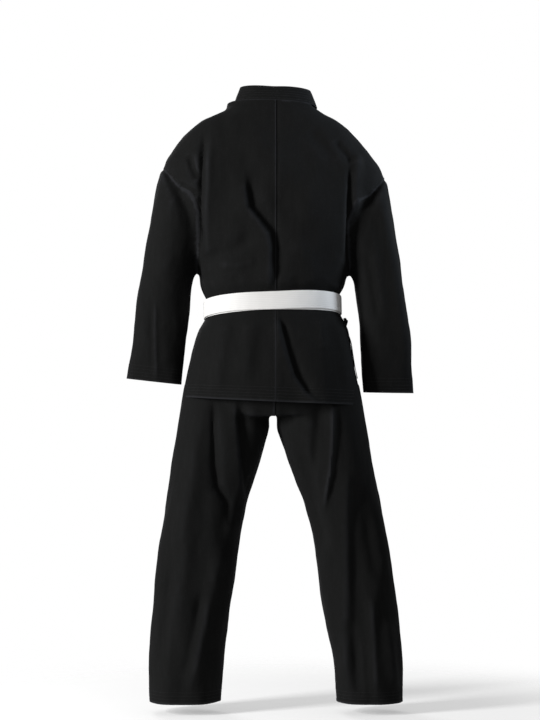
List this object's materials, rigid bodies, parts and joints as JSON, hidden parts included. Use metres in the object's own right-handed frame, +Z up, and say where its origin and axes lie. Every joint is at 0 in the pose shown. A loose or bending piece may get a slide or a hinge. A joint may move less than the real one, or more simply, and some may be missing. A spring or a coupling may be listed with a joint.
{
  "type": "martial arts uniform",
  "caption": "Black cotton martial arts uniform in worn shape: cross-over jacket, tied white belt, loose trousers; sleeves raise, legs spread, skirts swing",
  "frame": {"origin": "middle of the wearer's waist, at mid height of the belt", "axes": "+Z up along the wearer, the wearer faces -Y, the wearer's left is +X"},
  "size_m": [0.729, 0.2983, 1.5519],
  "materials": {
    "black_cotton_canvas": "matte black woven cotton canvas",
    "black_cotton_facing": "matte black cotton, inner side",
    "white_belt_cotton": "white cotton belt with rows of stitching",
    "elastic_webbing": "ribbed black elastic"
  },
  "bodies": {
    "torso": {"left_bodice": "black_cotton_canvas", "right_bodice": "black_cotton_canvas", "left_shoulder_lining": "black_cotton_facing", "right_shoulder_lining": "black_cotton_facing", "left_underarm_gusset": "black_cotton_facing", "right_underarm_gusset": "black_cotton_facing", "collar_band": "black_cotton_canvas", "left_lapel": "black_cotton_canvas", "right_lapel": "black_cotton_canvas", "belt_inner_wrap": "white_belt_cotton", "belt_outer_wrap": "white_belt_cotton", "belt_knot": "white_belt_cotton", "outer_tie_knot": "black_cotton_canvas", "inner_tie_knot": "black_cotton_canvas", "inner_tie_tail_front": "black_cotton_canvas", "inner_tie_tail_back": "black_cotton_canvas", "seat_left": "black_cotton_canvas", "seat_right": "black_cotton_canvas", "waistband": "black_cotton_canvas", "waist_elastic": "elastic_webbing", "waistband_facing": "black_cotton_facing", "crotch_gusset": "black_cotton_canvas"},
    "left_sleeve_piece": {"left_sleeve": "black_cotton_canvas", "left_cuff_hem": "black_cotton_facing"},
    "right_sleeve_piece": {"right_sleeve": "black_cotton_canvas", "right_cuff_hem": "black_cotton_facing"},
    "left_leg_piece": {"left_leg": "black_cotton_canvas", "left_leg_hem": "black_cotton_facing", "left_knee_patch": "black_cotton_facing"},
    "right_leg_piece": {"right_leg": "black_cotton_canvas", "right_leg_hem": "black_cotton_facing", "right_knee_patch": "black_cotton_facing"},
    "back_skirt_piece": {"back_skirt_left": "black_cotton_canvas", "back_skirt_left_hem": "black_cotton_facing", "back_skirt_right": "black_cotton_canvas", "back_skirt_right_hem": "black_cotton_facing"},
    "front_skirt_outer_piece": {"front_skirt_outer": "black_cotton_canvas", "front_skirt_outer_hem": "black_cotton_facing", "left_lapel_skirt": "black_cotton_canvas"},
    "front_skirt_under_piece": {"front_skirt_under": "black_cotton_canvas", "front_skirt_under_hem": "black_cotton_facing", "right_lapel_skirt": "black_cotton_canvas"},
    "belt_tail_left_piece": {"belt_tail_left": "white_belt_cotton"},
    "belt_tail_right_piece": {"belt_tail_right": "white_belt_cotton"},
    "outer_tie_tail_front_piece": {"outer_tie_tail_front": "black_cotton_canvas"},
    "outer_tie_tail_back_piece": {"outer_tie_tail_back": "black_cotton_canvas"}
  },
  "joints": [
    {"name": "left_sleeve_raise", "type": "hinge", "parent": "torso", "child": "left_sleeve_piece", "pos_m": [0.279, 0, 0.3605], "axis": [0, -1, 0], "range_deg": [0, 85]},
    {"name": "right_sleeve_raise", "type": "hinge", "parent": "torso", "child": "right_sleeve_piece", "pos_m": [-0.279, 0, 0.3365], "axis": [0, 1, 0], "range_deg": [0, 85]},
    {"name": "left_leg_spread", "type": "hinge", "parent": "torso", "child": "left_leg_piece", "pos_m": [0.239, 0, -0.2705], "axis": [0, -1, 0], "range_deg": [-6, 30]},
    {"name": "right_leg_spread", "type": "hinge", "parent": "torso", "child": "right_leg_piece", "pos_m": [-0.227, 0, -0.2705], "axis": [0, 1, 0], "range_deg": [-6, 30]},
    {"name": "back_skirt_swing", "type": "hinge", "parent": "torso", "child": "back_skirt_piece", "pos_m": [0, 0.121, -0.008], "axis": [1, 0, 0], "range_deg": [0, 20], "stiffness_Nm_per_rad": 0.12, "springref_deg": -28.65},
    {"name": "front_skirt_swing", "type": "hinge", "parent": "torso", "child": "front_skirt_outer_piece", "pos_m": [0, -0.124, -0.044], "axis": [-1, 0, 0], "range_deg": [0, 28], "stiffness_Nm_per_rad": 0.15, "springref_deg": -28.65},
    {"name": "under_skirt_swing", "type": "hinge", "parent": "torso", "child": "front_skirt_under_piece", "pos_m": [0, -0.124, -0.044], "axis": [-1, 0, 0], "range_deg": [0, 28]},
    {"name": "left_tail_swing", "type": "hinge", "parent": "torso", "child": "belt_tail_left_piece", "pos_m": [0, -0.143, -0.027], "axis": [-1, 0, 0], "range_deg": [0, 28]},
    {"name": "right_tail_swing", "type": "hinge", "parent": "torso", "child": "belt_tail_right_piece", "pos_m": [0, -0.143, -0.027], "axis": [-1, 0, 0], "range_deg": [0, 28]},
    {"name": "front_tie_tail_swing", "type": "hinge", "parent": "torso", "child": "outer_tie_tail_front_piece", "pos_m": [-0.1865, 0, -0.0345], "axis": [-1, 0, 0], "range_deg": [0, 25]},
    {"name": "back_tie_tail_swing", "type": "hinge", "parent": "torso", "child": "outer_tie_tail_back_piece", "pos_m": [-0.1865, 0, -0.0345], "axis": [1, 0, 0], "range_deg": [0, 25]}
  ],
  "couplings": [
    {"joint": "under_skirt_swing", "follows": "front_skirt_swing", "ratio": 1},
    {"joint": "left_tail_swing", "follows": "front_skirt_swing", "ratio": 1},
    {"joint": "right_tail_swing", "follows": "front_skirt_swing", "ratio": 1}
  ]
}
